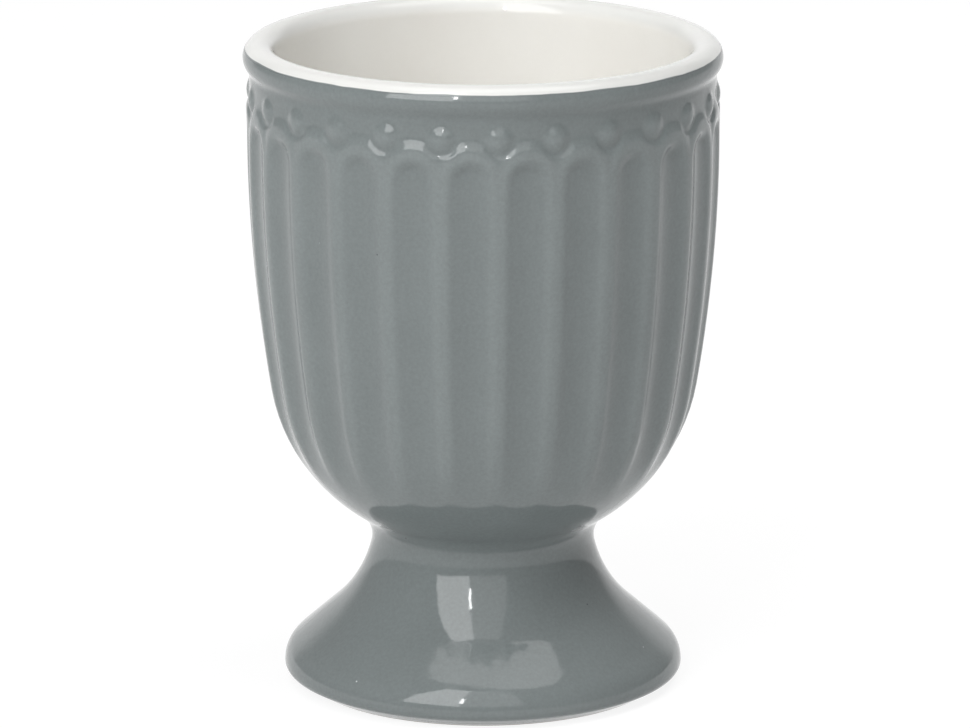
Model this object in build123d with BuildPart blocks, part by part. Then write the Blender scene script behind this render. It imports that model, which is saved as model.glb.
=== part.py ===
"""Egg cup in glazed stoneware.

A fluted bowl stands on a flared, hollow foot. The two are formed apart and luted at the neck with slip.
A white coat lines the bowl and covers its lip. The cup's axis is Z, it stands on Z = 0, and its front
faces -Y.
"""

import os
from math import cos, degrees, radians, sin, sqrt, tan

from build123d import *

# Overall sizes, in millimetres
overall_height = 66.0
rim_diameter = 48.0
neck_diameter = 22.6
neck_height = 14.8
foot_diameter = 40.5

# Bowl: a full-round lip, a wall that leans in a little below the heads of its flutes, a belly and a neck
lip_overhang = 0.28
bowl_wall = 2.97
bowl_floor = 4.2
wall_arc = 157.0
belly_arc = 19.6
neck_arc = 3.2

# White coat, over a clay lip that is trimmed in flats
liner_thickness = 0.4
colour_line_drop = 0.72
lip_flats = 3

# Slip joint, in a shallow recess in the top of the foot
slip_thickness = 0.4
slip_margin = 1.5

# Foot: a hollow instep that turns over into a rounded toe, and a well underneath
instep_arc = 16.8
toe_arc = 4.0
toe_height = 1.5
foot_wall = 3.6
foot_crown = 4.4
standing_ring_width = 2.4
base_bevel_height = 0.9
base_bevel_width = 1.05
well_crown_bevel = 2.2

# Bead band between the lip and the fluted wall, with a bead over each rib
flute_count = 26
first_bead_angle = -86.0
bead_sides = 8
bead_drop = 5.0
bead_diameter = 2.2
bead_rise = 0.42
bead_root = 0.3
bead_taper = 40.0
band_depth = 0.3
band_drop = 6.3
cove_arc = 0.8

# Flutes: round-headed hollows that run out above the neck
rib_width = 1.2
flute_depth = 0.55
flute_spring_drop = 9.6
flute_sections = 8


def meet(centre_a, reach_a, centre_b, reach_b):
    """The point at given distances from two centres, on the side away from the axis."""
    across = centre_b - centre_a
    along = (reach_a**2 - reach_b**2 + across.length**2) / (2 * across.length)
    aside = Vector(-across.Y, across.X).normalized() * sqrt(reach_a**2 - along**2)
    middle = centre_a + across.normalized() * along
    return max(middle + aside, middle - aside, key=lambda place: place.X)


def on_circle(centre, radius, towards):
    """The point of a circle in the direction of another point."""
    return centre + (towards - centre).normalized() * radius


def at_height(centre, radius, height):
    """The point of a circle, on the side away from the axis, at a given height."""
    return Vector(centre.X + sqrt(radius**2 - (height - centre.Y) ** 2), height)


def arc(centre, radius, start, end):
    """The shorter arc of a circle between the directions of two points."""
    first = on_circle(centre, radius, start)
    last = on_circle(centre, radius, end)
    return ThreePointArc(first, on_circle(centre, radius, (first + last) / 2), last)


# The half section, as (radius, height), built from tangent arcs
rim_radius = rim_diameter / 2
wall_radius = rim_radius - lip_overhang
mouth_radius = wall_radius - bowl_wall
neck_radius = neck_diameter / 2
band_radius = wall_radius - band_depth
lip_radius = (rim_radius - mouth_radius) / 2
lip_centre = Vector(mouth_radius + lip_radius, overall_height - lip_radius)
lip_inside = Vector(mouth_radius, lip_centre.Y)
colour_line = at_height(lip_centre, lip_radius, overall_height - colour_line_drop)
cove_reach = band_radius + cove_arc
cove_drop = sqrt((lip_radius + cove_arc) ** 2 - (cove_reach - lip_centre.X) ** 2)
cove_centre = Vector(cove_reach, lip_centre.Y - cove_drop)
wall_top = overall_height - band_drop
spring = Vector(wall_radius, overall_height - flute_spring_drop)
wall_centre = Vector(wall_radius - wall_arc, spring.Y)
neck_centre = Vector(neck_radius + neck_arc, neck_height)
belly_centre = meet(wall_centre, wall_arc - belly_arc, neck_centre, belly_arc + neck_arc)
wall_foot = on_circle(wall_centre, wall_arc, belly_centre)
belly_foot = on_circle(belly_centre, belly_arc, neck_centre)
toe_centre = Vector(foot_diameter / 2 - toe_arc, toe_height)
instep_centre = meet(neck_centre, instep_arc - neck_arc, toe_centre, instep_arc + toe_arc)
neck_foot = on_circle(instep_centre, instep_arc, neck_centre)

# The bowl's inside: an upright wall over a round bottom
inner_arc = wall_arc - bowl_wall
cavity_floor = neck_height + bowl_floor
floor_drop = wall_centre.Y - cavity_floor
bottom_arc = (inner_arc**2 - wall_centre.X**2 - floor_drop**2) / (2 * (inner_arc - floor_drop))
bottom_centre = Vector(0, cavity_floor + bottom_arc)

# The foot's underside
base_bevel = at_height(toe_centre, toe_arc, base_bevel_height)
standing_ring_outside = base_bevel.X - base_bevel_width
standing_ring_inside = standing_ring_outside - standing_ring_width
well_arc = instep_arc + foot_wall
well_height = neck_height - slip_thickness - foot_crown
well_brow_drop = sqrt(well_arc**2 - (instep_centre.X - standing_ring_inside) ** 2)
well_brow = Vector(standing_ring_inside, instep_centre.Y - well_brow_drop)
well_crown_reach = sqrt(well_arc**2 - (instep_centre.Y - well_height) ** 2)
well_crown = Vector(instep_centre.X - well_crown_reach, well_height)

# The slip's recess
slip_radius = neck_radius - slip_margin
below = (Align.CENTER, Align.CENTER, Align.MAX)

# The relief
bead_height = overall_height - bead_drop
bead_root_radius = bead_diameter / 2 + bead_root * tan(radians(bead_taper))
flute_turn = 360 / flute_count
flute_half_turn = flute_turn / 2 - degrees(rib_width / wall_radius) / 2
head_turn = first_bead_angle + flute_turn / 2
half_chord = wall_radius * sin(radians(flute_half_turn))
chord_depth = flute_depth - wall_radius * (1 - cos(radians(flute_half_turn)))
head_ball = (half_chord**2 + chord_depth**2) / (2 * chord_depth)
head_reach = wall_radius - flute_depth + head_ball


def cavity_lines(coat):
    """The bowl's inside from the axis up to the lip, set back by the thickness of a coat."""
    arc(bottom_centre, bottom_arc + coat, Vector(0, cavity_floor), bottom_centre * 2 - wall_centre)
    arc(wall_centre, inner_arc + coat, bottom_centre, Vector(wall_radius, wall_centre.Y))
    Line((mouth_radius + coat, wall_centre.Y), (mouth_radius + coat, lip_centre.Y))


def trimmed_lip():
    """The clay lip under the white coat, from the colour line round to the inside."""
    start = on_circle(lip_centre, lip_radius - liner_thickness, colour_line) - lip_centre
    turn = start.get_angle(lip_inside - lip_centre) / lip_flats
    Polyline(*(lip_centre + start.rotate(Axis.Z, turn * number) for number in range(lip_flats + 1)))


def polar(radius, angle):
    """The point at a given distance from the axis and angle round it."""
    return Vector(radius, 0).rotate(Axis.Z, angle)


def fluted_outline(radius, depth):
    """A ring of concave flutes between ribs that lie on a circle."""
    for number in range(flute_count):
        middle = first_bead_angle + flute_turn * (number + 0.5)
        near_edge = polar(radius, middle - flute_half_turn)
        far_edge = polar(radius, middle + flute_half_turn)
        next_edge = polar(radius, middle - flute_half_turn + flute_turn)
        ThreePointArc(near_edge, polar(radius - depth, middle), far_edge)
        ThreePointArc(far_edge, polar(radius, middle + flute_turn / 2), next_edge)


# One bead, with a root that goes into the band
with BuildPart() as bead:
    with BuildSketch(Plane.YZ.offset(band_radius - bead_root)):
        with Locations((0, bead_height)):
            RegularPolygon(bead_root_radius, bead_sides)
    extrude(amount=bead_root + bead_rise, taper=bead_taper)

# Lip and bead band, as a full disc: the heads of the flutes are hollowed into its lower edge
with BuildPart() as lip_band:
    with BuildSketch(Plane.XZ):
        with BuildLine():
            Polyline((0, spring.Y), spring, (wall_radius, wall_top), (band_radius, wall_top))
            Line((band_radius, wall_top), (band_radius, cove_centre.Y))
            arc(cove_centre, cove_arc, Vector(0, cove_centre.Y), lip_centre)
            arc(lip_centre, lip_radius, cove_centre, colour_line)
            Line(colour_line, on_circle(lip_centre, lip_radius - liner_thickness, colour_line))
            trimmed_lip()
            Polyline((mouth_radius + liner_thickness, lip_centre.Y), (0, lip_centre.Y), (0, spring.Y))
        make_face()
    revolve(axis=Axis.Z)
    with Locations((0, 0, spring.Y)):
        with PolarLocations(head_reach, flute_count, head_turn):
            Sphere(head_ball, mode=Mode.SUBTRACT)
    with PolarLocations(0, flute_count, first_bead_angle):
        add(bead.part)

# Bowl: neck, fluted wall and lip band in one piece of clay, hollowed for the egg
with BuildLine() as meridian:
    arc(wall_centre, wall_arc, spring, belly_centre)
    arc(belly_centre, belly_arc, wall_foot, neck_centre)

with BuildPart() as bowl_body:
    with BuildSketch(Plane.XZ):
        with BuildLine():
            Line((0, neck_height), (neck_radius, neck_height))
            arc(neck_centre, neck_arc, Vector(0, neck_height), belly_centre)
            Polyline(belly_foot, (0, belly_foot.Y), (0, neck_height))
        make_face()
    revolve(axis=Axis.Z)
    for number in range(flute_sections):
        place = meridian.wire() @ (number / (flute_sections - 1))
        fade = min(1, (place.X - belly_foot.X) / (wall_foot.X - belly_foot.X))
        with BuildSketch(Plane.XY.offset(place.Y)):
            with BuildLine():
                fluted_outline(place.X, flute_depth * fade)
            make_face()
    loft()
    add(lip_band.part)
    with BuildSketch(Plane.XZ):
        with BuildLine():
            cavity_lines(liner_thickness)
            Line((mouth_radius + liner_thickness, lip_centre.Y), (0, lip_centre.Y))
            Line((0, lip_centre.Y), (0, cavity_floor - liner_thickness))
        make_face()
    revolve(axis=Axis.Z, mode=Mode.SUBTRACT)

# White coat: the bowl's inside and the lip, down to the colour line
with BuildPart() as liner_glaze:
    with BuildSketch(Plane.XZ):
        with BuildLine():
            cavity_lines(0)
            arc(lip_centre, lip_radius, lip_inside, colour_line)
            Line(colour_line, on_circle(lip_centre, lip_radius - liner_thickness, colour_line))
            trimmed_lip()
            cavity_lines(liner_thickness)
            Line((0, cavity_floor - liner_thickness), (0, cavity_floor))
        make_face()
    revolve(axis=Axis.Z)

# Foot: hollow below, with a recess for the slip on top
with BuildPart() as foot_body:
    with BuildSketch(Plane.XZ):
        with BuildLine():
            Polyline(base_bevel, (standing_ring_outside, 0), (0, 0))
            Polyline((0, 0), (0, neck_height), (neck_radius, neck_height))
            arc(neck_centre, neck_arc, Vector(0, neck_height), neck_foot)
            arc(instep_centre, instep_arc, neck_centre, toe_centre)
            arc(toe_centre, toe_arc, instep_centre, base_bevel)
        make_face()
    revolve(axis=Axis.Z)
    with BuildSketch(Plane.XZ) as well:
        with BuildLine():
            Polyline(well_crown, (0, well_height), (0, 0), (standing_ring_inside, 0), well_brow)
            arc(instep_centre, well_arc, well_brow, well_crown)
        make_face()
        chamfer(well.vertices().sort_by_distance(well_crown)[0], well_crown_bevel)
    revolve(axis=Axis.Z, mode=Mode.SUBTRACT)
    with Locations((0, 0, neck_height)):
        Cylinder(slip_radius, slip_thickness, align=below, mode=Mode.SUBTRACT)

# Slip, which fills the recess between foot and bowl
with BuildPart() as joint_slip:
    with Locations((0, 0, neck_height)):
        Cylinder(slip_radius, slip_thickness, align=below)

bowl_body.part.label = "bowl_body"
liner_glaze.part.label = "liner_glaze"
foot_body.part.label = "foot_body"
joint_slip.part.label = "joint_slip"

os.makedirs("parts", exist_ok=True)
for piece in (bowl_body, liner_glaze, foot_body, joint_slip):
    export_step(piece.part, f"parts/{piece.part.label}.step")
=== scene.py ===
"""Looks of a glazed egg cup: a moulded grey body, a white liner, the slip in its neck, and a plain stage."""

from math import asin, atan2, cos, pi, radians, sin, sqrt, tan
from typing import NamedTuple

import bpy
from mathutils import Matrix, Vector


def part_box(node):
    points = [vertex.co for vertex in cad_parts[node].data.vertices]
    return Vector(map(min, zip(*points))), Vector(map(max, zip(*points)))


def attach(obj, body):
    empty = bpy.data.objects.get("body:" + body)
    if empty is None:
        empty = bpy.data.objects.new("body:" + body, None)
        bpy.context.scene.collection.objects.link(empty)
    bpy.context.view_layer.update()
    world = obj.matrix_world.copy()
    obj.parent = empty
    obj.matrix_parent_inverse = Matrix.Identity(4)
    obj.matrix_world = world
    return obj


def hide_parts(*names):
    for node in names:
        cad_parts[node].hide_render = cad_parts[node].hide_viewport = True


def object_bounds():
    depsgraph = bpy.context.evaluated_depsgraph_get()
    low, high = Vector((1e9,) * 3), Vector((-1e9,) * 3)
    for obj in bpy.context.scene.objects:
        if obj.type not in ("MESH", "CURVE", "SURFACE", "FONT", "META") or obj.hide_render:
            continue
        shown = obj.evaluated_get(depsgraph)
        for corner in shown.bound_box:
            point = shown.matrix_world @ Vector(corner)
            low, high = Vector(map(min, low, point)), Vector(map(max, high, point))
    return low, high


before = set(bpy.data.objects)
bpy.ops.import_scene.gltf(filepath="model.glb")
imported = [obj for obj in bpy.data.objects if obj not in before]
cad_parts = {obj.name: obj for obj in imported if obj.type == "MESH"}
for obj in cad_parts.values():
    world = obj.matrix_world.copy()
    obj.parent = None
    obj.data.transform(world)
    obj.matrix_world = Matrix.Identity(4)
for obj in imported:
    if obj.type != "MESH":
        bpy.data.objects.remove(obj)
cad_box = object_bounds()

bl_info = {
    "name": "Egg Cup",
    "version": (1, 0, 0),
    "blender": (4, 5, 0),
    "location": "3D View > Sidebar > Egg Cup",
    "description": "Moulds, glazes and lights a fluted egg cup",
    "category": "Add Mesh",
}

MM = 0.001
BODY = "root"
BOWL_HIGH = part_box("bowl_body")[1]
FOOT_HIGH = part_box("foot_body")[1]
SHARP_BEND = radians(50)  # an edge that bends further is shaded sharp
WELD_DISTANCE = 0.0001 * MM  # points of a skin that lie nearer become one
FULLY_OUTWARD = 0.3  # a surface that faces outwards this far has its whole relief
NARROWEST_GROOVE = 0.001 * MM  # keeps a groove's width from zero where it closes
SHORTEST_RUN = 0.000001 * MM  # keeps a step along the section from zero


def length(name, description, default):
    """A length in metres."""
    return bpy.props.FloatProperty(
        name=name, description=description, default=default, precision=5, subtype="DISTANCE", unit="LENGTH"
    )


def amount(name, description, default):
    """A plain number."""
    return bpy.props.FloatProperty(name=name, description=description, default=default, precision=4)


def angle(name, description, degrees):
    """An angle, given in degrees and kept in radians."""
    return bpy.props.FloatProperty(
        name=name, description=description, default=radians(degrees), subtype="ANGLE", unit="ROTATION"
    )


def count(name, description, default):
    """A whole number."""
    return bpy.props.IntProperty(name=name, description=description, default=default, min=1)


def colour(name, description, red, green, blue):
    """A colour, given as screen values up to 255 and kept as linear light."""
    linear = [((part / 255 + 0.055) / 1.055) ** 2.4 for part in (red, green, blue)]
    return bpy.props.FloatVectorProperty(
        name=name, description=description, default=linear, size=3, min=0, max=1, subtype="COLOR"
    )


class SectionSizes(bpy.types.PropertyGroup):
    """The cup's half section, built from tangent arcs, and how finely it is turned."""

    height: length("Height", "From the surface it stands on to the top of the lip", cad_box[1].z)
    rim_radius: length("Rim radius", "Outer radius of the rolled lip", BOWL_HIGH.x)
    foot_radius: length("Foot radius", "Radius of the toe of the foot", FOOT_HIGH.x)
    neck_height: length("Neck height", "Height of the narrowest place", FOOT_HIGH.z)
    neck_radius: length("Neck radius", "Radius of the narrowest place", 11.3 * MM)
    lip_overhang: length("Lip overhang", "How far the lip stands out over the wall", 0.28 * MM)
    bowl_wall: length("Bowl wall", "Thickness of the glazed wall", 2.97 * MM)
    bowl_floor: length("Bowl floor", "Clay between the neck and the hollow", 4.2 * MM)
    spring_drop: length("Spring drop", "From the lip's top to where the wall begins to lean in", 9.6 * MM)
    wall_arc: length("Wall arc", "Radius of the wall's lean", 157 * MM)
    belly_arc: length("Belly arc", "Radius of the belly", 19.6 * MM)
    neck_arc: length("Neck arc", "Radius of the hollow at the neck", 3.2 * MM)
    instep_arc: length("Instep arc", "Radius of the hollow of the foot", 13.0 * MM)
    slope_lean: angle("Slope lean", "How far the straight slope over the toe faces up", 48.5)
    toe_arc: length("Toe arc", "Radius of the toe", 3.2 * MM)
    toe_height: length("Toe height", "Height of the foot's widest place", 1.65 * MM)
    toe_round: length("Toe round", "Radius under the foot's widest place", 0.8 * MM)
    bevel_lean: angle("Bevel lean", "How far the bevel under the toe faces down", 61)
    foot_wall: length("Foot wall", "Thickness of the foot", 3.6 * MM)
    well_height: length("Well height", "Height of the hollow under the foot", 10.0 * MM)
    well_round: length("Well round", "Radius at the top of the well", 3.0 * MM)
    ring_width: length("Ring width", "Width of the bare standing ring", 2.4 * MM)
    ring_round: length("Ring round", "Radius inside the standing ring", 0.3 * MM)
    coat: length("Coat", "Thickness of the white coat", 0.4 * MM)
    coat_gap: length("Coat gap", "Hairline between the coat and the clay behind it", 0.02 * MM)
    colour_line_drop: length("Colour line drop", "From the top of the lip to where the white ends", 0.72 * MM)
    coat_turn: angle("Coat turn", "How far the white coat goes on past the colour line", 6)
    body_columns: count("Body columns", "Mesh columns of the body for each flute", 26)
    coat_columns: count("Coat columns", "Mesh columns of the white coat for each flute", 10)


class ReliefSizes(bpy.types.PropertyGroup):
    """The moulded relief: flutes under an arcade, and a bead over each rib."""

    flutes: count("Flutes", "Flutes, and beads, round the bowl", 26)
    first_bead: angle("First bead", "Turn of one bead from the X axis", -86)
    rib_width: length("Rib width", "Width of the ridge between two flutes", 1.2 * MM)
    flute_depth: length("Flute depth", "Depth of a flute", 0.52 * MM)
    flute_softness: amount("Flute softness", "How far the glaze rounds a flute's edge", 0.4)
    flute_end_radius: length("Flute end radius", "Radius where the flutes have run out", 17.5 * MM)
    flute_full_radius: length("Flute full radius", "Radius where the flutes are whole", 22.4 * MM)
    head_drop: length("Head drop", "From the lip's top to the crests of the flutes' round heads", 7.1 * MM)
    head_edge: length("Head edge", "Width of the slope down into a flute's head", 1.4 * MM)
    arch_drop: length("Arch drop", "From the lip's top to the middle of the slope over an arch", 5.85 * MM)
    arch_radius: length("Arch radius", "Radius of the arch over each flute", 2.95 * MM)
    arch_foot_drop: length("Arch foot drop", "From the lip's top to where the arches' feet meet", 10.0 * MM)
    arch_softness: amount("Arch softness", "How far the glaze rounds the corners of the arches", 0.2)
    band_depth: length("Band depth", "Depth of the bead band behind the arches", 0.36 * MM)
    band_edge: length("Band edge", "Width of the slope over an arch", 1.6 * MM)
    cove_start_drop: length("Cove start drop", "From the lip's top to where the band gets shallow", 3.3 * MM)
    cove_end_drop: length("Cove end drop", "From the lip's top to where the band has closed", 2.1 * MM)
    bead_drop: length("Bead drop", "From the lip's top to the beads' middles", 5.3 * MM)
    bead_radius: length("Bead radius", "Radius of a bead's foot", 1.3 * MM)
    bead_rise: length("Bead rise", "How far a bead stands out of the band", 0.36 * MM)
    bead_softness: length("Bead softness", "How far the glaze rounds a bead's foot", 0.12 * MM)
    pocket_radius: length("Pocket radius", "Radius of the hollow round a bead", 1.75 * MM)
    pocket_edge: length("Pocket edge", "Width of that hollow's slope", 0.8 * MM)
    groove_depth: length("Groove depth", "Depth of the groove down the top of a rib", 0.03 * MM)
    groove_width: length("Groove width", "Half width of that groove at its top", 0.65 * MM)
    groove_start_drop: length("Groove start drop", "From the lip's top to the groove's top", 6.5 * MM)
    groove_end_drop: length("Groove end drop", "From the lip's top to where the groove has closed", 18 * MM)
    waver: length("Waver", "Unevenness of the glazed surface", 0.03 * MM)
    waver_length: length("Waver length", "Size of that unevenness", 9 * MM)


class FinishColours(bpy.types.PropertyGroup):
    """Colours and gloss of the glazes and the clay."""

    grey: colour("Grey glaze", "The outside glaze", 118, 125, 125)
    # Paler over ridges and beads, darker in flutes and band: partly the glaze's own, partly painted highlight
    # and painted shade.
    grey_thin: colour("Grey glaze, thin", "The outside glaze where it runs thin over ridges", 125, 132, 132)
    grey_pooled: colour("Grey glaze, pooled", "The outside glaze where it gathers in hollows", 115, 122, 122)
    white: colour("White glaze", "The inside glaze", 242, 241, 237)
    white_shade: colour("White glaze, shade", "The inside glaze in its darker clouds", 237, 235, 230)
    # Darker over the lip's top: painted shade that tones down the light the lamps put there.
    white_thin: colour("White glaze, thin", "The inside glaze where it runs thin over the lip", 222, 222, 219)
    clay: colour("Bare clay", "The unglazed standing ring", 205, 195, 178)
    slip: colour("Slip", "The clay slip in the neck", 196, 184, 165)
    speck: colour("Speck", "Iron specks in the glaze", 62, 66, 66)
    pinhole: colour("Pinhole", "Pale pinholes in the glaze", 196, 200, 200)
    glaze_roughness: amount("Glaze roughness", "Roughness of both glazes", 0.07)
    clay_roughness: amount("Clay roughness", "Roughness of the bare clay", 0.8)


class FinishSizes(bpy.types.PropertyGroup):
    """Grain, clouds, specks and edges of the glazes and the clay."""

    # How far the ridges and beads are painted paler, partly as a painted highlight.
    thin_share: amount("Thin share", "How far the grey pales where it runs thin", 0.7)
    grain_size: length("Grain size", "Size of the grey glaze's fine grain", 0.35 * MM)
    grain_share: amount("Grain share", "How far that grain changes the grey", 0.3)
    grain_roughness: amount("Grain roughness", "How strong the finest part of that grain is", 0.6)
    cloud_size: length("Cloud size", "Size of the grey glaze's clouds", 7 * MM)
    cloud_share: amount("Cloud share", "How far those clouds change the grey", 0.14)
    fine_detail: amount("Fine detail", "How many times grain and clouds are divided finer", 3.0)
    gloss_share: amount("Gloss share", "How far the clouds change the gloss of both glazes", 0.03)
    ripple_size: length("Ripple size", "Size of the grey glaze's ripples", 1.6 * MM)
    ripple_depth: length("Ripple depth", "Depth of those ripples", 0.012 * MM)
    pinhole_cell: length("Pinhole cell", "Spacing of the places for pinholes", 3.2 * MM)
    pinhole_radius: length("Pinhole radius", "Radius of a pinhole", 0.12 * MM)
    pinhole_share: amount("Pinhole share", "Share of those places that hold one", 0.05)
    speck_radius: length("Speck radius", "Radius of a speck", 0.1 * MM)
    speck_cell: length("Speck cell", "Spacing of the places for specks in the grey", 2.6 * MM)
    speck_share: amount("Speck share", "Share of those places that hold one", 0.07)
    white_speck_cell: length("White speck cell", "Spacing of the places for specks in the white", 4 * MM)
    white_speck_share: amount("White speck share", "Share of those places that hold one", 0.04)
    bare_height: length("Bare height", "Height below which the standing ring is bare", 0.04 * MM)
    glazed_height: length("Glazed height", "Height above which the foot is glazed", 0.12 * MM)
    bare_waver: length("Bare waver", "Unevenness of that edge", 0.1 * MM)
    clay_grain_size: length("Clay grain size", "Size of the bare clay's grains", 0.15 * MM)
    clay_grain_share: amount("Clay grain share", "How far those grains change the clay", 0.3)
    clay_depth_ratio: amount("Clay depth ratio", "Depth of the clay's grain over the ripples'", 6)
    white_cloud_size: length("White cloud size", "Size of the white glaze's clouds", 9 * MM)
    white_cloud_share: amount("White cloud share", "How far those clouds turn white to its shade", 1.5)
    white_grain_size: length("White grain size", "Size of the white glaze's fine grain", 0.5 * MM)
    white_grain_share: amount("White grain share", "How far that grain changes the white", 0.02)
    white_ripple_size: length("White ripple size", "Size of the white glaze's ripples", 1.8 * MM)
    white_ripple_depth: length("White ripple depth", "Depth of those ripples", 0.01 * MM)
    # How far down from the lip's top the painted shade reaches.
    lip_share: amount("Lip share", "Share of the lip's radius over which the white thins", 0.6)
    edge_waver: length("Edge waver", "Unevenness of the colour line", 0.25 * MM)
    edge_waver_length: length("Edge waver length", "Size of that unevenness", 5 * MM)
    edge_below: length("Edge below", "How far below its line the colour has turned grey", 0.06 * MM)
    edge_above: length("Edge above", "How far above its line the colour has turned white", 0.02 * MM)
    slip_grain_size: length("Slip grain size", "Size of the slip's grains", 0.3 * MM)
    slip_grain_depth: length("Slip grain depth", "Depth of those grains", 0.05 * MM)
    slip_gloss_share: amount("Slip gloss share", "How far those grains change the gloss", 0.1)
    slip_cloud_size: length("Slip cloud size", "Size of the slip's clouds", 2 * MM)
    slip_cloud_share: amount("Slip cloud share", "How far those clouds change the slip", 0.2)


class StageSizes(bpy.types.PropertyGroup):
    """The camera, the lamps and the floor."""

    camera_distance: length("Camera distance", "From the cup's axis to the camera, level", 619.7 * MM)
    camera_height: length("Camera height", "Height of the camera over the floor", 192.2 * MM)
    camera_side: length("Camera side", "How far the camera stands to the right", 0.2 * MM)
    camera_pitch: angle("Camera pitch", "How far the camera looks down", 14.45)
    camera_lens: amount("Camera lens", "Focal length in millimetres", 235.1)
    camera_sensor: amount("Camera sensor", "Width of the sensor in millimetres", 36.0)
    camera_reach: length("Camera reach", "How far the camera sees", 50.0)
    floor_size: length("Floor size", "Width of the floor", 12.0)
    floor_drop: length("Floor drop", "How far the floor lies under the cup", 0.02 * MM)
    floor_tone: amount("Floor tone", "Share of the light that the floor gives back", 0.85)
    floor_glow: amount("Floor glow", "Strength of the floor's own white", 1.1)
    floor_glow_share: amount("Floor glow share", "Share of its own white in what is seen of it", 0.8)
    ambient: amount("Ambient", "Strength of the even light from all round", 0.05)
    dim_front: amount("Dim front", "Strength of what the glaze mirrors over the camera", 0.42)
    white_start: amount("White start", "How far to the back the glaze begins to mirror white", 0.7)
    white_full: amount("White full", "How far to the back it mirrors full white", 0.88)
    key_strength: amount("Key strength", "Brightness of the tall lamp on the left", 3.85)
    panel_strength: amount("Panel strength", "Brightness of the panel beside it", 0.92)
    side_strength: amount("Side strength", "Brightness of the broad lamp far left", 1.8)
    fill_strength: amount("Fill strength", "Brightness of the lamp on the right", 3.0)
    top_strength: amount("Top strength", "Brightness of the broad lamp overhead", 1.7)
    overhead_strength: amount("Overhead strength", "Brightness of the small lamp over the bowl", 4.2)
    glint_strength: amount("Glint strength", "Brightness of the small bare lamp in front", 30.0)


class Wire:
    """An output socket in an expression. Each operator adds one Math node to its tree."""

    def __init__(self, tree, socket):
        self.tree = tree
        self.socket = socket

    @classmethod
    def make(cls, tree, kind, settings=None, sockets=None, out=0):
        """Adds a node of a kind, makes its settings, feeds its sockets and gives one of its outputs."""
        node = tree.nodes.new(kind)
        for name, value in (settings or {}).items():
            setattr(node, name, value)
        for key, value in (sockets or {}).items():
            if isinstance(value, cls):
                tree.links.new(value.socket, node.inputs[key])
            else:
                node.inputs[key].default_value = value
        return cls(tree, node.outputs[out]) if len(node.outputs) else None

    def math(self, operation, *values):
        return Wire.make(self.tree, "ShaderNodeMath", {"operation": operation}, dict(enumerate(values)))

    def __add__(self, other):
        return self.math("ADD", self, other)

    def __sub__(self, other):
        return self.math("SUBTRACT", self, other)

    def __mul__(self, other):
        return self.math("MULTIPLY", self, other)

    def __truediv__(self, other):
        return self.math("DIVIDE", self, other)

    def __rsub__(self, other):
        return self.math("SUBTRACT", other, self)

    def __rtruediv__(self, other):
        return self.math("DIVIDE", other, self)

    def __neg__(self):
        return self * -1

    def __abs__(self):
        return self.math("ABSOLUTE", self)

    __radd__ = __add__
    __rmul__ = __mul__

    def root(self):
        return self.math("SQRT", self)

    def at_least(self, other):
        return self.math("MAXIMUM", self, other)

    def at_most(self, other):
        return self.math("MINIMUM", self, other)

    def over(self, start, end):
        """0 before start, 1 after end, and smooth between them."""
        sockets = {"Value": self, "From Min": start, "From Max": end}
        return Wire.make(self.tree, "ShaderNodeMapRange", {"interpolation_type": "SMOOTHSTEP"}, sockets)

    def softened(self, softness):
        """The value where it is above 0, running out smoothly below it."""
        return (self + (self * self + softness * softness).root()) * 0.5


def meet(centre_a, reach_a, centre_b, reach_b):
    """The point at given distances from two centres, on the side away from the axis."""
    across = centre_b - centre_a
    along = (reach_a**2 - reach_b**2 + across.length**2) / (2 * across.length)
    aside = Vector((-across.y, across.x)).normalized() * sqrt(reach_a**2 - along**2)
    middle = centre_a + across.normalized() * along
    return max(middle + aside, middle - aside, key=lambda place: place.x)


def turned(centre, radius, turn):
    """The point of a circle at a turn from level."""
    return centre + Vector((cos(turn), sin(turn))) * radius


def arc(centre, radius, start, end, rows):
    """Points along a circle from the direction of one point to that of another, the short way round."""
    first = atan2(start.y - centre.y, start.x - centre.x)
    sweep = atan2(end.y - centre.y, end.x - centre.x) - first
    sweep -= 2 * pi * round(sweep / (2 * pi))
    return [turned(centre, radius, first + sweep * row / rows) for row in range(rows + 1)]


def run(start, end, rows):
    """Points along a straight line."""
    return [start.lerp(end, row / rows) for row in range(rows + 1)]


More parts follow.
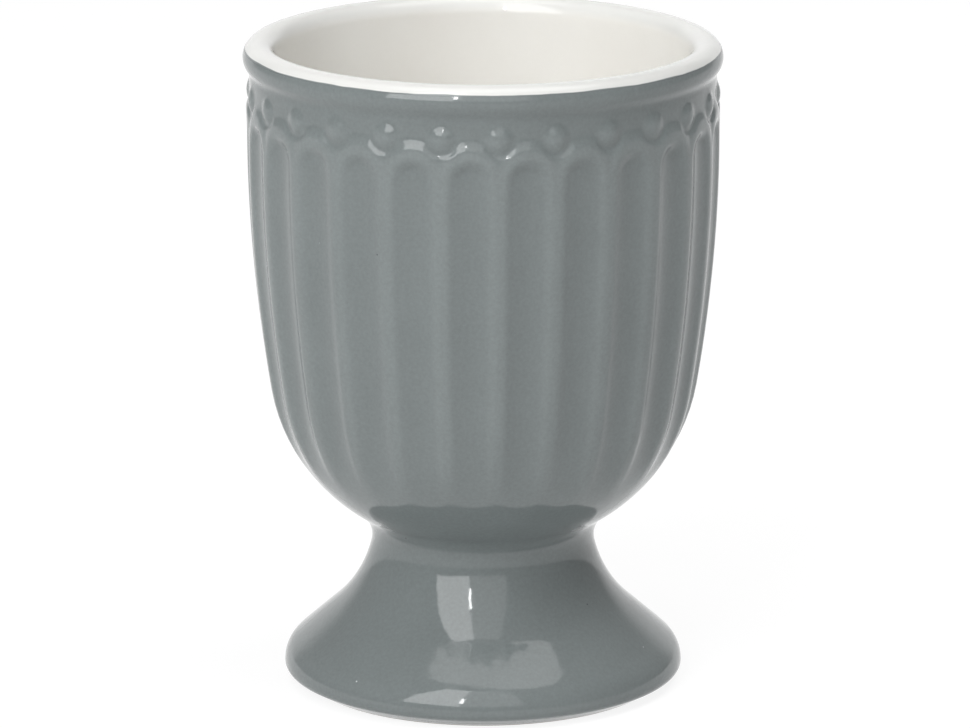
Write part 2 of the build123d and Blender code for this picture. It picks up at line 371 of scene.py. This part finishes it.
class Section:
    """The half section as (radius, height) points: the solids' arcs with a straight slope and a finer toe."""

    def __init__(self, sizes, relief):
        self.sizes = sizes
        self.relief = relief
        wall_radius = sizes.rim_radius - sizes.lip_overhang
        self.wall_radius = wall_radius
        mouth_radius = wall_radius - sizes.bowl_wall
        self.mouth_radius = mouth_radius
        self.lip_radius = (sizes.rim_radius - mouth_radius) / 2
        self.lip = Vector((mouth_radius + self.lip_radius, sizes.height - self.lip_radius))
        self.colour_turn = asin(1 - sizes.colour_line_drop / self.lip_radius)
        self.spring = Vector((wall_radius, sizes.height - sizes.spring_drop))
        self.wall = Vector((wall_radius - sizes.wall_arc, self.spring.y))
        self.neck = Vector((sizes.neck_radius + sizes.neck_arc, sizes.neck_height))
        self.belly = meet(
            self.wall, sizes.wall_arc - sizes.belly_arc, self.neck, sizes.belly_arc + sizes.neck_arc
        )
        self.toe = Vector((sizes.foot_radius - sizes.toe_arc, sizes.toe_height))
        self.slope = Vector((cos(sizes.slope_lean), sin(sizes.slope_lean)))
        self.slope_reach = self.toe.dot(self.slope) + sizes.toe_arc
        rise = self.slope_reach + sizes.instep_arc - self.neck.dot(self.slope)
        along = sqrt((sizes.instep_arc - sizes.neck_arc) ** 2 - rise**2)
        self.instep = self.neck + self.slope * rise + Vector((self.slope.y, -self.slope.x)) * along
        self.wall_foot = turned(
            self.wall, sizes.wall_arc, atan2(self.belly.y - self.wall.y, self.belly.x - self.wall.x)
        )
        self.inner_arc = sizes.wall_arc - sizes.bowl_wall
        hollow_floor = sizes.neck_height + sizes.bowl_floor
        drop = self.wall.y - hollow_floor
        self.bottom_arc = (self.inner_arc**2 - self.wall.x**2 - drop**2) / (2 * (self.inner_arc - drop))
        self.bottom = Vector((0, hollow_floor + self.bottom_arc))

    def hollow(self, coat, rows):
        """The inside from the lip down to the axis, set back by a coat."""
        lip_inside = Vector((self.mouth_radius + coat, self.lip.y))
        wall_top = Vector((self.mouth_radius + coat, self.wall.y))
        join = self.bottom * 2 - self.wall
        return (
            run(lip_inside, wall_top, max(1, rows // 6))
            + arc(self.wall, self.inner_arc + coat, wall_top, join, rows // 2)[1:]
            + arc(self.bottom, self.bottom_arc + coat, join, Vector((0, 0)), rows)[1:]
        )

    def body(self):
        """The clay with its grey glaze: well, ring, foot, bowl, lip, and the side under the white coat."""
        sizes, relief = self.sizes, self.relief
        well_arc = sizes.instep_arc + sizes.foot_wall
        round_reach = well_arc + sizes.well_round
        round_height = sizes.well_height - sizes.well_round
        crown_reach = sqrt(round_reach**2 - (self.instep.y - round_height) ** 2)
        crown = Vector((self.instep.x - crown_reach, round_height))
        under_toe = Vector((sizes.foot_radius - sizes.toe_round, sizes.toe_height))
        bevel_top = turned(under_toe, sizes.toe_round, -sizes.bevel_lean)
        bevel_foot = Vector((bevel_top.x - bevel_top.y * tan(sizes.bevel_lean), 0))
        ring_inside = bevel_foot.x - sizes.ring_width
        well_slope = self.instep - self.slope * well_arc
        brow_reach = self.slope_reach - sizes.foot_wall
        brow = Vector((ring_inside, (brow_reach - ring_inside * self.slope.x) / self.slope.y))
        toe_top = self.toe + self.slope * sizes.toe_arc
        slope_top = self.instep - self.slope * sizes.instep_arc
        ring_round = Vector((ring_inside + sizes.ring_round, sizes.ring_round))
        ring_level = Vector((ring_inside, sizes.ring_round))
        cove_start = Vector((self.wall_radius, sizes.height - relief.cove_start_drop))
        roll_turn = asin((sizes.height - relief.cove_end_drop - self.lip.y) / self.lip_radius)
        roll_foot = turned(self.lip, self.lip_radius, roll_turn)
        colour_line = turned(self.lip, self.lip_radius, self.colour_turn - sizes.coat_turn)
        under = self.lip_radius - sizes.coat - sizes.coat_gap
        return (
            [Vector((0, sizes.well_height))]
            + arc(crown, sizes.well_round, crown + Vector((0, 1)), self.instep, rows=3)
            + arc(self.instep, well_arc, crown, well_slope, rows=6)[1:]
            + run(well_slope, brow, rows=2)[1:]
            + run(brow, ring_level, rows=1)[1:]
            + arc(ring_round, sizes.ring_round, ring_level, Vector((ring_round.x, 0)), rows=2)[1:]
            + run(bevel_foot, bevel_top, rows=3)
            + arc(under_toe, sizes.toe_round, bevel_top, under_toe + Vector((1, 0)), rows=6)[1:]
            + arc(self.toe, sizes.toe_arc, self.toe + Vector((1, 0)), toe_top, rows=6)[1:]
            + run(toe_top, slope_top, rows=4)[1:]
            + arc(self.instep, sizes.instep_arc, slope_top, self.neck, rows=14)[1:]
            + arc(self.neck, sizes.neck_arc, self.neck * 2 - self.instep, self.belly, rows=9)[1:]
            + arc(self.belly, sizes.belly_arc, self.neck, self.wall_foot, rows=12)[1:]
            + arc(self.wall, sizes.wall_arc, self.wall_foot, self.spring, rows=14)[1:]
            + run(self.spring, cove_start, rows=32)[1:]
            + run(cove_start, roll_foot, rows=6)[1:]
            + arc(self.lip, self.lip_radius, roll_foot, colour_line, rows=8)[1:]
            + arc(self.lip, under, colour_line, self.lip + Vector((-1, 0)), rows=3)
            + self.hollow(sizes.coat + sizes.coat_gap, rows=6)[1:]
        )

    def liner(self):
        """The white coat: its hidden side up to the lip, round the lip, and down the inside."""
        sizes = self.sizes
        colour_line = turned(self.lip, self.lip_radius, self.colour_turn - sizes.coat_turn)
        inside = self.lip + Vector((-1, 0))
        return (
            self.hollow(sizes.coat, rows=6)[:0:-1]
            + arc(self.lip, self.lip_radius - sizes.coat, inside, colour_line, rows=3)
            + arc(self.lip, self.lip_radius, colour_line, inside, rows=22)
            + self.hollow(0, rows=24)[1:]
        )


def new_tree(name, inputs):
    """An empty geometry tree with named inputs. Gives the tree, its inputs as wires and their identifiers."""
    tree = bpy.data.node_groups.new(name, "GeometryNodeTree")
    tree.interface.new_socket(name="Geometry", in_out="OUTPUT", socket_type="NodeSocketGeometry")
    identifiers = {}
    for label, kind in {"Geometry": "NodeSocketGeometry", **inputs}.items():
        socket = tree.interface.new_socket(name=label, in_out="INPUT", socket_type=kind)
        identifiers[label] = socket.identifier
    entry = tree.nodes.new("NodeGroupInput")
    wires = {label: Wire(tree, entry.outputs[label]) for label in identifiers}
    return tree, wires, identifiers


def parts_of(vector):
    """The three numbers of a vector."""
    split = Wire.make(vector.tree, "ShaderNodeSeparateXYZ", sockets={0: vector}).socket.node
    return [Wire(vector.tree, socket) for socket in split.outputs]


def joined(tree, x, y, z):
    """A vector from three numbers."""
    return Wire.make(tree, "ShaderNodeCombineXYZ", sockets={0: x, 1: y, 2: z})


def noise(vector, size, detail=2.0, roughness=0.5):
    """Smooth noise about 0, from about -0.5 to 0.5, with features of a given size."""
    sockets = {"Vector": vector, "Scale": 1 / size, "Detail": detail, "Roughness": roughness}
    return Wire.make(vector.tree, "ShaderNodeTexNoise", sockets=sockets) - 0.5


def relief_height(wires, turn, radius, drop):
    """How far the moulded surface stands out, and two shares for the glaze's colour: darker in flutes and
    band, partly painted shade, and paler over ridges and beads, partly painted highlight.
    """
    flute_turn = 2 * pi / wires["Flutes"]
    pitch = flute_turn * wires["Wall radius"]
    step = (turn - wires["First bead"]) / flute_turn
    across = (step - step.math("ROUND", step)) * pitch
    from_flute = pitch * 0.5 - abs(across)
    fade = radius.over(wires["Flute end radius"], wires["Flute full radius"])
    fade = fade * drop.math("LESS_THAN", drop, wires["Neck drop"])

    def outside_arch(crest):
        """How far a place lies outside the arch of a given crest."""
        above = (crest + wires["Arch radius"] - drop).at_least(0)
        return (from_flute * from_flute + above * above).root() - wires["Arch radius"]

    aside = from_flute / ((pitch - wires["Rib width"]) * 0.5)
    hollow = (1 - aside * aside).softened(wires["Flute softness"])
    hollow = hollow * abs(across).over(0, wires["Rib width"] * 0.5)
    hollow = hollow * (-outside_arch(wires["Head drop"])).over(0, wires["Head edge"])
    flute = hollow * fade

    above_bead = wires["Bead drop"] - drop
    bead_reach = across * across + above_bead * above_bead
    half_edge = wires["Pocket edge"] * 0.5
    pocket = (wires["Pocket radius"] - bead_reach.root()).over(-half_edge, half_edge)
    half_edge = wires["Band edge"] * 0.5
    over_arcade = outside_arch(wires["Arch drop"]).over(-half_edge, half_edge)
    over_arcade = over_arcade * (1 - drop.over(wires["Bead drop"], wires["Arch foot drop"]))
    over_arcade = over_arcade.math("SMOOTH_MAX", over_arcade, pocket, wires["Arch softness"]).at_most(1)
    band = over_arcade * drop.over(wires["Cove end drop"], wires["Cove start drop"])

    bead_radius = wires["Bead radius"]
    cap = wires["Bead rise"] * (1 - bead_reach / (bead_radius * bead_radius))
    bead = cap.softened(wires["Bead softness"])

    closing = 1 - drop.over(wires["Groove start drop"], wires["Groove end drop"])
    line = across / (wires["Groove width"] * closing).at_least(NARROWEST_GROOVE)
    fall = -(line * line)
    groove = fall.math("EXPONENT", fall) * closing * (1 - over_arcade)

    height = bead - flute * wires["Flute depth"] - band * wires["Band depth"] - groove * wires["Groove depth"]
    knob = bead / wires["Bead rise"]
    ridge = (1 - hollow).at_least(0)
    # Darker in flutes and band, partly painted shade; paler over ridges and beads, partly painted highlight.
    pooled = (flute + band - knob).at_least(0).at_most(1)
    thin = (ridge * ridge * fade * (1 - over_arcade) + knob).at_most(1)
    return height, pooled, thin


def turning_tree(name, moulded):
    """A tree that turns a section about Z into a closed skin, with the moulded relief if it is asked for."""
    inputs = {"Material": "NodeSocketMaterial", "Columns": "NodeSocketInt"}
    inputs.update({"Waver": "NodeSocketFloat", "Waver length": "NodeSocketFloat"})
    if moulded:
        sizes = ("Lip top", "Neck drop", "Wall radius")
        inputs.update({label: "NodeSocketFloat" for label in sizes})
        inputs.update({label: "NodeSocketFloat" for label in labels(ReliefSizes)})
    tree, wires, identifiers = new_tree(name, inputs)

    size_sockets = {"Geometry": wires["Geometry"]}
    rows = Wire.make(tree, "GeometryNodeAttributeDomainSize", sockets=size_sockets, out="Point Count")
    grid_sockets = {"Size X": 1.0, "Size Y": 1.0, "Vertices X": wires["Columns"] + 1, "Vertices Y": rows}
    grid = Wire.make(tree, "GeometryNodeMeshGrid", sockets=grid_sockets)
    across, along, _ = parts_of(Wire.make(tree, "GeometryNodeInputPosition"))
    turn = (across + 0.5) * (2 * pi)
    place = (along + 0.5) * (rows - 1)
    row = place.math("ROUND", place)

    def section_point(index):
        sockets = {"Geometry": wires["Geometry"], "Index": index}
        settings = {"data_type": "FLOAT_VECTOR", "domain": "POINT", "clamp": True}
        sockets["Value"] = Wire.make(tree, "GeometryNodeInputPosition")
        return parts_of(Wire.make(tree, "GeometryNodeSampleIndex", settings, sockets))

    radius, _, height = section_point(row)
    radius_before, _, height_before = section_point(row - 1)
    radius_after, _, height_after = section_point(row + 1)
    run_out, run_up = radius_after - radius_before, height_after - height_before
    run_length = (run_out * run_out + run_up * run_up).root().at_least(SHORTEST_RUN)
    out, up = run_up / run_length, -(run_out / run_length)

    cosine, sine = turn.math("COSINE", turn), turn.math("SINE", turn)
    spot = joined(tree, radius * cosine, radius * sine, height)
    outside = out.over(0, FULLY_OUTWARD)
    lift = (noise(spot, wires["Waver length"], detail=1.0) - 0.5) * wires["Waver"] * outside
    skin = grid
    if moulded:
        relief, pooled, thin = relief_height(wires, turn, radius, wires["Lip top"] - height)
        lift = lift + relief * outside
        # Kept for the grey glaze's colour: in part painted shade in the hollows and painted highlight on the
        # ridges.
        for attribute, value in (("pooled", pooled), ("thin", thin)):
            sockets = {"Geometry": skin, "Name": attribute, "Value": value * outside}
            settings = {"data_type": "FLOAT", "domain": "POINT"}
            skin = Wire.make(tree, "GeometryNodeStoreNamedAttribute", settings, sockets)
    moved_radius = radius + lift * out
    moved = joined(tree, moved_radius * cosine, moved_radius * sine, height + lift * up)
    skin = Wire.make(tree, "GeometryNodeSetPosition", sockets={"Geometry": skin, "Position": moved})
    sockets = {"Geometry": skin, "Distance": WELD_DISTANCE}
    skin = Wire.make(tree, "GeometryNodeMergeByDistance", sockets=sockets)
    sockets = {"Geometry": skin, "Shade Smooth": True}
    skin = Wire.make(tree, "GeometryNodeSetShadeSmooth", {"domain": "FACE"}, sockets)
    bend = Wire.make(tree, "GeometryNodeInputMeshEdgeAngle", out="Unsigned Angle")
    sharp = bend.math("GREATER_THAN", bend, SHARP_BEND)
    sockets = {"Geometry": skin, "Selection": sharp, "Shade Smooth": False}
    skin = Wire.make(tree, "GeometryNodeSetShadeSmooth", {"domain": "EDGE"}, sockets)
    skin = Wire.make(tree, "GeometryNodeRealizeInstances", sockets={"Geometry": skin})
    sockets = {"Geometry": skin, "Material": wires["Material"]}
    skin = Wire.make(tree, "GeometryNodeSetMaterial", sockets=sockets)
    Wire.make(tree, "NodeGroupOutput", sockets={"Geometry": skin})
    return tree, identifiers


def labels(group):
    """The name of each property of a group, by its key."""
    return [group.bl_rna.properties[key].name for key in group.__annotations__]


def turned_piece(name, points, moulded, material, values):
    """A closed piece, turned from a section by its tree and kept as a plain mesh."""
    outline = bpy.data.meshes.new(name + "_section")
    links = [(row, row + 1) for row in range(len(points) - 1)]
    outline.from_pydata([(point.x, 0, point.y) for point in points], links, [])
    holder = bpy.data.objects.new(name + "_section", outline)
    bpy.context.scene.collection.objects.link(holder)
    tree, identifiers = turning_tree(name + "_turning", moulded)
    turning = holder.modifiers.new("Turning", "NODES")
    turning.node_group = tree
    for label, value in {"Material": material, **values}.items():
        turning[identifiers[label]] = value
    seen = holder.evaluated_get(bpy.context.evaluated_depsgraph_get())
    mesh = bpy.data.meshes.new_from_object(seen)
    mesh.name = name
    bpy.data.objects.remove(holder)
    bpy.data.meshes.remove(outline)
    if len(mesh.polygons) == 0:
        raise RuntimeError(f"{name} came out empty")
    piece = bpy.data.objects.new(name, mesh)
    bpy.context.scene.collection.objects.link(piece)
    return piece


def new_material(name):
    """A material with an empty tree."""
    material = bpy.data.materials.new(name)
    material.use_nodes = True
    material.node_tree.nodes.clear()
    return material, material.node_tree


def coloured(factor, first, second):
    """A mix of two colours, each a wire or a plain colour."""
    plain = [value if isinstance(value, Wire) else (*value, 1) for value in (first, second)]
    settings = {"data_type": "RGBA", "clamp_factor": True}
    return Wire.make(factor.tree, "ShaderNodeMix", settings, {0: factor, 6: plain[0], 7: plain[1]}, out=2)


def brightened(tone, share):
    """A colour made lighter or darker by a share that varies about 0."""
    factor = share + 1
    scale = joined(share.tree, factor, factor, factor)
    return Wire.make(share.tree, "ShaderNodeVectorMath", {"operation": "MULTIPLY"}, {0: tone, 1: scale})


def attribute(tree, name):
    """A number kept on the mesh."""
    return Wire.make(tree, "ShaderNodeAttribute", {"attribute_name": name}, out="Fac")


def dots(spot, cell, radius, share):
    """Round dots of a given radius in a share of the cells of a scattered grid."""
    settings = {"feature": "F1", "distance": "EUCLIDEAN"}
    distance = Wire.make(spot.tree, "ShaderNodeTexVoronoi", settings, {"Vector": spot, "Scale": 1 / cell})
    chance = parts_of(Wire(spot.tree, distance.socket.node.outputs["Color"]))[0]
    near = 1 - (distance * cell).over(radius * 0.5, radius)
    return near * chance.math("LESS_THAN", chance, share)


def finish(tree, tone, roughness, height, depth):
    """The surface: a shader with its colour, its gloss and a fine height."""
    sockets = {"Height": height, "Strength": 1.0, "Distance": depth}
    normal = Wire.make(tree, "ShaderNodeBump", sockets=sockets)
    sockets = {"Base Color": tone, "Roughness": roughness, "Normal": normal, "IOR": 1.5}
    shader = Wire.make(tree, "ShaderNodeBsdfPrincipled", sockets=sockets)
    Wire.make(tree, "ShaderNodeOutputMaterial", sockets={"Surface": shader})


def grey_glaze(colours, fine):
    """Grey-green glaze that breaks pale over ridges and darkens in hollows, partly the glaze's own and partly
    painted highlight and painted shade, with specks, pinholes and a bare standing ring.
    """
    material, tree = new_material("grey_glaze")
    spot = Wire.make(tree, "ShaderNodeTexCoord", out="Object")
    height = parts_of(spot)[2]
    # Darker in hollows and paler over ridges: partly painted shade and painted highlight.
    tone = coloured(attribute(tree, "pooled"), colours.grey, colours.grey_pooled)
    tone = coloured(attribute(tree, "thin") * fine.thin_share, tone, colours.grey_thin)
    grain = noise(spot, fine.grain_size, fine.fine_detail, fine.grain_roughness)
    cloud = noise(spot, fine.cloud_size, fine.fine_detail)
    tone = brightened(tone, grain * fine.grain_share + cloud * fine.cloud_share)
    pinholes = dots(spot, fine.pinhole_cell, fine.pinhole_radius, fine.pinhole_share)
    tone = coloured(pinholes, tone, colours.pinhole)
    tone = coloured(dots(spot, fine.speck_cell, fine.speck_radius, fine.speck_share), tone, colours.speck)
    bare = 1 - (height + grain * fine.bare_waver).over(fine.bare_height, fine.glazed_height)
    clay = coloured(grain + 0.5, colours.clay, colours.slip)
    clay = brightened(clay, noise(spot, fine.clay_grain_size) * fine.clay_grain_share)
    tone = coloured(bare, tone, clay)
    roughness = bare * (colours.clay_roughness - colours.glaze_roughness) + colours.glaze_roughness
    roughness = roughness + cloud * fine.gloss_share
    relief = noise(spot, fine.ripple_size) + bare * grain * fine.clay_depth_ratio
    finish(tree, tone, roughness, relief, fine.ripple_depth)
    return material


def white_glaze(colours, fine, section, sizes):
    """Warm white glaze, darker over the lip's top as painted shade, with the grey showing under its uneven
    edge on the lip.
    """
    material, tree = new_material("white_glaze")
    spot = Wire.make(tree, "ShaderNodeTexCoord", out="Object")
    x, y, z = parts_of(spot)
    radius = (x * x + y * y).root()
    cloud = noise(spot, fine.white_cloud_size, fine.fine_detail)
    grain = noise(spot, fine.white_grain_size)
    tone = coloured(cloud * fine.white_cloud_share + 0.5, colours.white, colours.white_shade)
    # Painted shade over the top of the lip.
    painted_shade_on_lip = z.over(section.lip.y, section.lip.y + section.lip_radius * fine.lip_share)
    tone = brightened(coloured(painted_shade_on_lip, tone, colours.white_thin), grain * fine.white_grain_share)
    specks = dots(spot, fine.white_speck_cell, fine.speck_radius, fine.white_speck_share)
    tone = coloured(specks, tone, colours.speck)
    line = sizes.height - sizes.colour_line_drop
    waver = noise(spot, fine.edge_waver_length) * fine.edge_waver
    outside = radius.math("GREATER_THAN", radius, section.lip.x)
    edge = (1 - (z + waver).over(line - fine.edge_below, line + fine.edge_above)) * outside
    tone = coloured(edge, tone, colours.grey)
    roughness = cloud * fine.gloss_share + colours.glaze_roughness
    finish(tree, tone, roughness, noise(spot, fine.white_ripple_size), fine.white_ripple_depth)
    return material


def slip_clay(colours, fine):
    """Dry clay slip with grog."""
    material, tree = new_material("slip_clay")
    spot = Wire.make(tree, "ShaderNodeTexCoord", out="Object")
    grain = noise(spot, fine.slip_grain_size, fine.fine_detail)
    cloud = noise(spot, fine.slip_cloud_size)
    tone = brightened(coloured(grain + 0.5, colours.slip, colours.clay), cloud * fine.slip_cloud_share)
    roughness = grain * fine.slip_gloss_share + colours.clay_roughness
    finish(tree, tone, roughness, grain, fine.slip_grain_depth)
    return material


class EGGCUP_OT_body(bpy.types.Operator):
    """Turn and mould the clay body with its grey glaze."""

    bl_idname = "eggcup.body"
    bl_label = "Glazed body"

    def execute(self, context):
        sizes, relief = context.scene.egg_cup_section, context.scene.egg_cup_relief
        section = Section(sizes, relief)
        values = dict(zip(labels(ReliefSizes), (getattr(relief, key) for key in ReliefSizes.__annotations__)))
        values.update({"Columns": relief.flutes * sizes.body_columns, "Lip top": sizes.height})
        values.update({"Neck drop": sizes.height - sizes.neck_height, "Wall radius": section.wall_radius})
        material = grey_glaze(context.scene.egg_cup_colours, context.scene.egg_cup_finish)
        piece = turned_piece("glazed_body", section.body(), True, material, values)
        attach(piece, BODY)
        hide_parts("bowl_body", "foot_body")
        return {"FINISHED"}


class EGGCUP_OT_liner(bpy.types.Operator):
    """Turn the white coat that lines the bowl and covers the lip."""

    bl_idname = "eggcup.liner"
    bl_label = "White liner"

    def execute(self, context):
        sizes, relief = context.scene.egg_cup_section, context.scene.egg_cup_relief
        section = Section(sizes, relief)
        values = {"Columns": relief.flutes * sizes.coat_columns}
        values.update({"Waver": relief.waver, "Waver length": relief.waver_length})
        colours, fine = context.scene.egg_cup_colours, context.scene.egg_cup_finish
        material = white_glaze(colours, fine, section, sizes)
        piece = turned_piece("white_liner", section.liner(), False, material, values)
        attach(piece, BODY)
        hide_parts("liner_glaze")
        return {"FINISHED"}


class EGGCUP_OT_slip(bpy.types.Operator):
    """Give the slip in the neck its clay."""

    bl_idname = "eggcup.slip"
    bl_label = "Joint slip"

    def execute(self, context):
        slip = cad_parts["joint_slip"]
        slip.data.materials.clear()
        slip.data.materials.append(slip_clay(context.scene.egg_cup_colours, context.scene.egg_cup_finish))
        return {"FINISHED"}


def seen_rays(tree):
    """1 for each kind of ray that shows a thing: straight from the camera, by a mirror, and through glass."""
    path = Wire.make(tree, "ShaderNodeLightPath").socket.node
    names = ("Is Camera Ray", "Is Glossy Ray", "Is Transmission Ray")
    return [Wire(tree, path.outputs[name]) for name in names]


def lit_floor(stage):
    """A pale floor that shows white, with the cup's soft shadow."""
    material, tree = new_material("pale_floor")
    tone = (stage.floor_tone, stage.floor_tone, stage.floor_tone, 1)
    plain = Wire.make(tree, "ShaderNodeBsdfDiffuse", sockets={"Color": tone})
    sockets = {"Color": (1, 1, 1, 1), "Strength": stage.floor_glow}
    glow = Wire.make(tree, "ShaderNodeEmission", sockets=sockets)
    camera, glossy, glass = seen_rays(tree)
    seen = camera.at_least(glossy).at_least(glass)
    sockets = {0: seen * stage.floor_glow_share, 1: plain, 2: glow}
    mix = Wire.make(tree, "ShaderNodeMixShader", sockets=sockets)
    Wire.make(tree, "ShaderNodeOutputMaterial", sockets={"Surface": mix})
    half, level = stage.floor_size / 2, -stage.floor_drop
    corners = [(-half, -half, level), (half, -half, level), (half, half, level), (-half, half, level)]
    mesh = bpy.data.meshes.new("floor")
    mesh.from_pydata(corners, [], [(0, 1, 2, 3)])
    mesh.materials.append(material)
    floor = bpy.data.objects.new("floor", mesh)
    bpy.context.scene.collection.objects.link(floor)


def around(turn, distance, height):
    """A place at a turn in degrees to the right of the camera's side, a level distance and a height."""
    return Vector((sin(radians(turn)) * distance, -cos(radians(turn)) * distance, height))


class Lamp(NamedTuple):
    """A lamp's place, the size of its pane, what it faces, and whether the glaze mirrors it."""

    place: Vector
    width: float
    tall: float
    faces: str = "cup"
    shape: str = "RECTANGLE"
    mirrored: bool = True

    def aim(self):
        """The point that the lamp faces."""
        points = {
            "cup": (cad_box[0] + cad_box[1]) / 2,
            "axis": Vector((0, 0, self.place.z)),
            "floor": Vector((self.place.x, self.place.y, 0)),
        }
        return points[self.faces]


LAMPS = {
    "key": Lamp(around(turn=-30, distance=0.6, height=1.02), width=0.355, tall=1.7, faces="axis"),
    "panel": Lamp(around(turn=5, distance=0.6, height=1.02), width=0.40, tall=1.7, faces="axis"),
    "side": Lamp(around(turn=-72, distance=0.87, height=0.38), width=0.5, tall=0.6, mirrored=False),
    "fill": Lamp(around(turn=115, distance=0.7, height=1.1), width=0.4, tall=0.6, mirrored=False),
    "top": Lamp(Vector((0.06, 0.04, 1.03)), width=1.0, tall=0.62, faces="floor", shape="ELLIPSE"),
    "overhead": Lamp(Vector((0.28, -0.28, 0.95)), width=0.35, tall=0.35, mirrored=False),
    "glint": Lamp(around(turn=-13, distance=0.67, height=0.47), width=0.02, tall=0.25),
}


def softbox(name, lamp, radiance):
    """Set up a lamp of an even brightness."""
    light = bpy.data.lights.new(name, "AREA")
    light.shape = lamp.shape
    light.size, light.size_y = lamp.width, lamp.tall
    light.energy = radiance * pi * lamp.width * lamp.tall
    if lamp.shape == "ELLIPSE":
        light.energy *= pi / 4
    holder = bpy.data.objects.new(name, light)
    holder.location = lamp.place
    holder.rotation_euler = (lamp.place - lamp.aim()).to_track_quat("Z", "Y").to_euler()
    holder.visible_glossy = lamp.mirrored
    bpy.context.scene.collection.objects.link(holder)


def white_surroundings(stage):
    """A world that shows white, and that the glaze mirrors white at the back and dim elsewhere."""
    world = bpy.data.worlds.new("studio")
    bpy.context.scene.world = world
    world.use_nodes = True
    tree = world.node_tree
    tree.nodes.clear()
    camera, glossy, glass = seen_rays(tree)
    _, back, _ = parts_of(Wire.make(tree, "ShaderNodeTexCoord", out="Generated"))
    mirrored = back.over(stage.white_start, stage.white_full) * (1 - stage.dim_front) + stage.dim_front
    strength = camera.at_least(glossy.at_least(glass) * mirrored)
    plain = 1 - camera.at_least(glossy).at_least(glass)
    sockets = {"Color": (1, 1, 1, 1), "Strength": strength + plain * stage.ambient}
    glow = Wire.make(tree, "ShaderNodeBackground", sockets=sockets)
    Wire.make(tree, "ShaderNodeOutputWorld", sockets={"Surface": glow})


def placed_camera(stage):
    """The camera in front of the cup, looking a little down."""
    camera = bpy.data.cameras.new("camera")
    camera.sensor_fit = "HORIZONTAL"
    camera.sensor_width = stage.camera_sensor
    camera.lens = stage.camera_lens
    camera.clip_end = stage.camera_reach
    holder = bpy.data.objects.new("camera", camera)
    holder.location = (stage.camera_side, -stage.camera_distance, stage.camera_height)
    holder.rotation_euler = (pi / 2 - stage.camera_pitch, 0, 0)
    bpy.context.scene.collection.objects.link(holder)
    bpy.context.scene.camera = holder


class EGGCUP_OT_stage(bpy.types.Operator):
    """Set up the floor, the lamps, the background and the camera."""

    bl_idname = "eggcup.stage"
    bl_label = "Stage"

    def execute(self, context):
        stage = context.scene.egg_cup_stage
        lit_floor(stage)
        for name, lamp in LAMPS.items():
            softbox(name + "_lamp", lamp, getattr(stage, name + "_strength"))
        white_surroundings(stage)
        placed_camera(stage)
        context.scene.view_settings.view_transform = "Standard"
        return {"FINISHED"}


OPERATORS = (EGGCUP_OT_body, EGGCUP_OT_liner, EGGCUP_OT_slip, EGGCUP_OT_stage)
SETTINGS = {
    "egg_cup_section": SectionSizes,
    "egg_cup_relief": ReliefSizes,
    "egg_cup_colours": FinishColours,
    "egg_cup_finish": FinishSizes,
    "egg_cup_stage": StageSizes,
}


class EGGCUP_PT_panel(bpy.types.Panel):
    """The cup's pieces, sizes and colours."""

    bl_idname = "EGGCUP_PT_panel"
    bl_label = "Egg Cup"
    bl_space_type = "VIEW_3D"
    bl_region_type = "UI"
    bl_category = "Egg Cup"

    def draw(self, context):
        for operator in OPERATORS:
            self.layout.operator(operator.bl_idname)
        for key, group in SETTINGS.items():
            box = self.layout.box()
            box.label(text=group.__doc__)
            for name in group.__annotations__:
                box.prop(getattr(context.scene, key), name)


CLASSES = (*SETTINGS.values(), *OPERATORS, EGGCUP_PT_panel)


def register():
    for each in CLASSES:
        bpy.utils.register_class(each)
    for key, group in SETTINGS.items():
        setattr(bpy.types.Scene, key, bpy.props.PointerProperty(type=group))


def unregister():
    for key in SETTINGS:
        delattr(bpy.types.Scene, key)
    for each in reversed(CLASSES):
        bpy.utils.unregister_class(each)


def main():
    """Register the classes, and make every piece and the stage."""
    register()
    bpy.ops.eggcup.body()
    bpy.ops.eggcup.liner()
    bpy.ops.eggcup.slip()
    bpy.ops.eggcup.stage()


if __name__ == "__main__":
    main()
